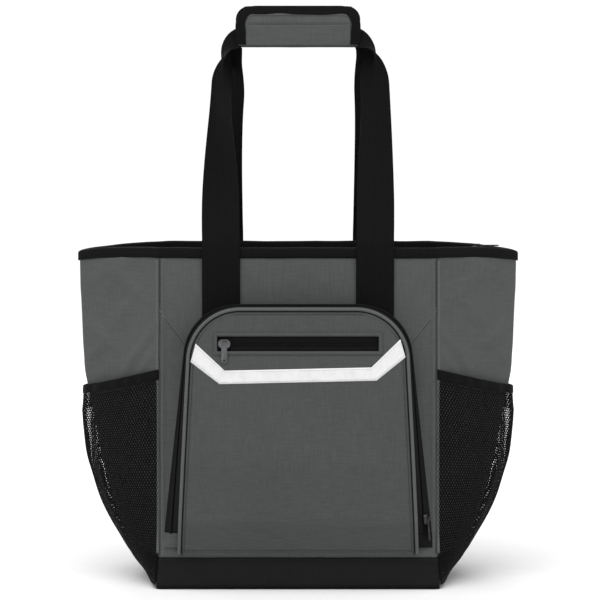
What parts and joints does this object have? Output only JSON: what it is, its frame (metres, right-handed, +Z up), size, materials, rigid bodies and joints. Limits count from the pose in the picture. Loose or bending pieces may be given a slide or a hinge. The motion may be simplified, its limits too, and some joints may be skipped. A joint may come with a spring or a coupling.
{
  "type": "insulated cooler bag",
  "caption": "Trapezoid insulated tote with a zipped top closure, zipped front pocket, mesh side pockets and two webbing handles joined by a padded grip wrap.",
  "frame": {"origin": "centre of the flat base, on the surface that the bag stands on", "axes": "+Z up, +X to the right as seen from the front, -Y towards the front pocket"},
  "size_m": [0.4532, 0.2116, 0.5891],
  "materials": {
    "grey_fabric": "woven polyester",
    "black_fabric": "coated woven polyester",
    "binding": "woven tape",
    "webbing": "ribbed webbing",
    "mesh": "open knitted mesh",
    "elastic": "elastic binding",
    "zip_tape": "woven zip tape",
    "zip_coil": "nylon coil",
    "zip_metal": "gunmetal plating",
    "reflective": "retroreflective tape",
    "foam": "closed-cell foam",
    "board": "polyethylene sheet",
    "lining": "waterproof film lining",
    "hook_loop": "hook and loop tape"
  },
  "bodies": {
    "root": {"outer_front_panel": "grey_fabric", "outer_back_panel": "grey_fabric", "outer_left_side": "grey_fabric", "outer_right_side": "grey_fabric", "base_sheet": "black_fabric", "base_band": "black_fabric", "base_board": "board", "foam_front": "foam", "foam_back": "foam", "foam_left": "foam", "foam_right": "foam", "foam_floor": "foam", "lining_tub": "lining", "rim_binding": "binding", "closure_end_tab_left": "black_fabric", "closure_end_tab_right": "black_fabric", "pocket_rear_tape": "zip_tape", "pocket_rear_coil": "zip_coil", "pocket_end_tab_left": "grey_fabric", "pocket_end_tab_right": "grey_fabric", "mesh_pocket_left": "mesh", "mesh_pocket_right": "mesh", "mesh_elastic_left": "elastic", "mesh_elastic_right": "elastic", "front_strap_ends": "webbing", "rear_strap_ends": "webbing"},
    "front_closure": {"closure_flap_front": "black_fabric", "closure_tape_front": "zip_tape", "closure_coil_front": "zip_coil"},
    "rear_closure": {"closure_flap_rear": "black_fabric", "closure_tape_rear": "zip_tape", "closure_coil_rear": "zip_coil"},
    "closure_slider_body": {"closure_slider": "zip_metal"},
    "closure_puller_body": {"closure_puller": "zip_metal"},
    "pocket_front": {"pocket_face": "grey_fabric", "pocket_front_tape": "zip_tape", "pocket_front_coil": "zip_coil", "pocket_piping": "grey_fabric", "slash_tape": "zip_tape", "slash_coil": "zip_coil", "slash_pouch": "black_fabric", "reflective_strip": "reflective"},
    "slash_slider_body": {"slash_slider": "zip_metal"},
    "slash_puller_body": {"slash_puller": "zip_metal"},
    "pocket_slider_body": {"pocket_slider": "zip_metal"},
    "pocket_puller_body": {"pocket_puller": "zip_metal"},
    "front_handle": {"front_handle_strap": "webbing"},
    "rear_handle": {"rear_handle_strap": "webbing", "grip_wrap_rear": "grey_fabric", "grip_binding_rear": "binding", "grip_loop_patch": "hook_loop"},
    "grip_flap": {"grip_wrap_front": "grey_fabric", "grip_binding_front": "binding", "grip_hook_patch": "hook_loop"}
  },
  "joints": [
    {"name": "closure_front_open", "type": "hinge", "parent": "root", "child": "front_closure", "pos_m": [0, -0.0715, 0.33575], "axis": [1, 0, 0], "range_deg": [0, 75]},
    {"name": "closure_rear_open", "type": "hinge", "parent": "root", "child": "rear_closure", "pos_m": [0, 0.0715, 0.33575], "axis": [-1, 0, 0], "range_deg": [0, 75]},
    {"name": "closure_slide", "type": "slide", "parent": "root", "child": "closure_slider_body", "axis": [1, 0, 0], "range_m": [-0.37, 0]},
    {"name": "closure_puller_turn", "type": "hinge", "parent": "closure_slider_body", "child": "closure_puller_body", "pos_m": [0.185, 0, 0.34195], "axis": [0, -1, 0], "range_deg": [0, 160]},
    {"name": "pocket_face_open", "type": "hinge", "parent": "root", "child": "pocket_front", "pos_m": [0, -0.091, 0.0355], "axis": [1, 0, 0], "range_deg": [0, 90]},
    {"name": "slash_slide", "type": "slide", "parent": "pocket_front", "child": "slash_slider_body", "axis": [1, 0, 0], "range_m": [0, 0.146]},
    {"name": "slash_puller_swing", "type": "hinge", "parent": "slash_slider_body", "child": "slash_puller_body", "pos_m": [-0.073, -0.11862, 0.2495], "axis": [0, 1, 0], "range_deg": [-70, 70]},
    {"name": "pocket_slide", "type": "slide", "parent": "root", "child": "pocket_slider_body", "axis": [-0.0804, -0.0217, 0.9965], "range_m": [0, 0.143]},
    {"name": "pocket_puller_turn", "type": "hinge", "parent": "pocket_slider_body", "child": "pocket_puller_body", "pos_m": [0.13033, -0.09763, 0.07236], "axis": [-0.17, -0.9848, -0.0351], "range_deg": [0, 150]},
    {"name": "front_handle_swing", "type": "hinge", "parent": "root", "child": "front_handle", "pos_m": [0, -0.0882, 0.345], "axis": [1, 0, 0], "range_deg": [0, 160]},
    {"name": "rear_handle_swing", "type": "hinge", "parent": "root", "child": "rear_handle", "pos_m": [0, 0.0882, 0.345], "axis": [-1, 0, 0], "range_deg": [0, 190]},
    {"name": "grip_flap_open", "type": "hinge", "parent": "rear_handle", "child": "grip_flap", "pos_m": [0, -0.0106, 0.5466], "axis": [1, 0, 0], "range_deg": [0, 120]}
  ]
}
